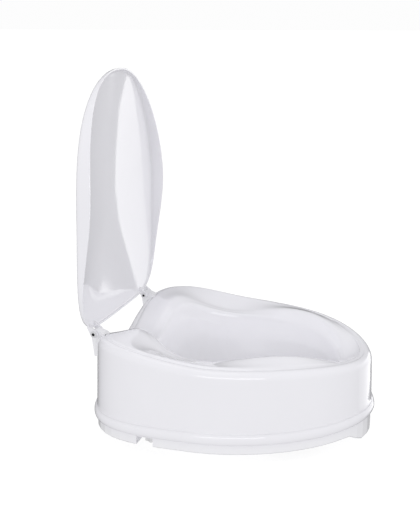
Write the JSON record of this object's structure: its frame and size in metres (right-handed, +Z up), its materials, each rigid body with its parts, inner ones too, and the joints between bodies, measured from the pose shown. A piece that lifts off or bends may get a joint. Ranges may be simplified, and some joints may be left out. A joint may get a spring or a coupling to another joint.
{
  "type": "raised toilet seat",
  "caption": "Raised toilet seat: a contoured hollow seat shell on a base ring with a front hook and side clamps, and a hinged lid shown open.",
  "frame": {"origin": "centre of the bounding box in plan, on the floor that the front hook and the clamp jaws stand on", "axes": "+X to the right seen from the front, +Y towards the hinges, +Z up; the seat is symmetric about X = 0"},
  "size_m": [0.3708, 0.417, 0.5224],
  "materials": {
    "white_plastic": "smooth glossy moulded polypropylene, very slightly bluish white",
    "grey_plastic": "satin moulded plastic, pale grey",
    "rubber": "matt soft rubber, dark grey",
    "steel": "zinc-plated steel"
  },
  "bodies": {
    "seat": {"seat_shell": "white_plastic", "base_ring": "white_plastic", "base_screw_front_left": "steel", "base_screw_front_right": "steel", "base_screw_middle_left": "steel", "base_screw_middle_right": "steel", "base_screw_rear_left": "steel", "base_screw_rear_right": "steel", "hinge_bracket_left": "white_plastic", "hinge_bracket_right": "white_plastic", "hinge_pin_left": "grey_plastic", "hinge_pin_right": "grey_plastic", "hinge_screw_lower_left": "steel", "hinge_screw_lower_right": "steel", "hinge_screw_upper_left": "steel", "hinge_screw_upper_right": "steel", "clamp_bolt_left": "steel", "clamp_bolt_right": "steel", "rest_pad_front_left": "rubber", "rest_pad_front_right": "rubber", "rest_pad_rear_left": "rubber", "rest_pad_rear_right": "rubber"},
    "lid": {"lid": "white_plastic"},
    "left_clamp": {"clamp_arm_left": "white_plastic", "clamp_pad_left": "rubber"},
    "right_clamp": {"clamp_arm_right": "white_plastic", "clamp_pad_right": "rubber"},
    "left_knob": {"clamp_knob_left": "grey_plastic", "clamp_washer_left": "steel"},
    "right_knob": {"clamp_knob_right": "grey_plastic", "clamp_washer_right": "steel"}
  },
  "joints": [
    {"name": "lid_hinge", "type": "hinge", "parent": "seat", "child": "lid", "pos_m": [0, 0.1863, 0.1488], "axis": [1, 0, 0], "range_deg": [0, 85]},
    {"name": "left_clamp_slide", "type": "slide", "parent": "seat", "child": "left_clamp", "axis": [-1, 0, 0], "range_m": [0, 0.018]},
    {"name": "right_clamp_slide", "type": "slide", "parent": "seat", "child": "right_clamp", "axis": [1, 0, 0], "range_m": [0, 0.018]},
    {"name": "left_knob_turn", "type": "hinge", "parent": "seat", "child": "left_knob", "pos_m": [-0.144, 0.0865, 0.013], "axis": [0, 0, 1], "continuous": true},
    {"name": "right_knob_turn", "type": "hinge", "parent": "seat", "child": "right_knob", "pos_m": [0.144, 0.0865, 0.013], "axis": [0, 0, 1], "continuous": true}
  ]
}
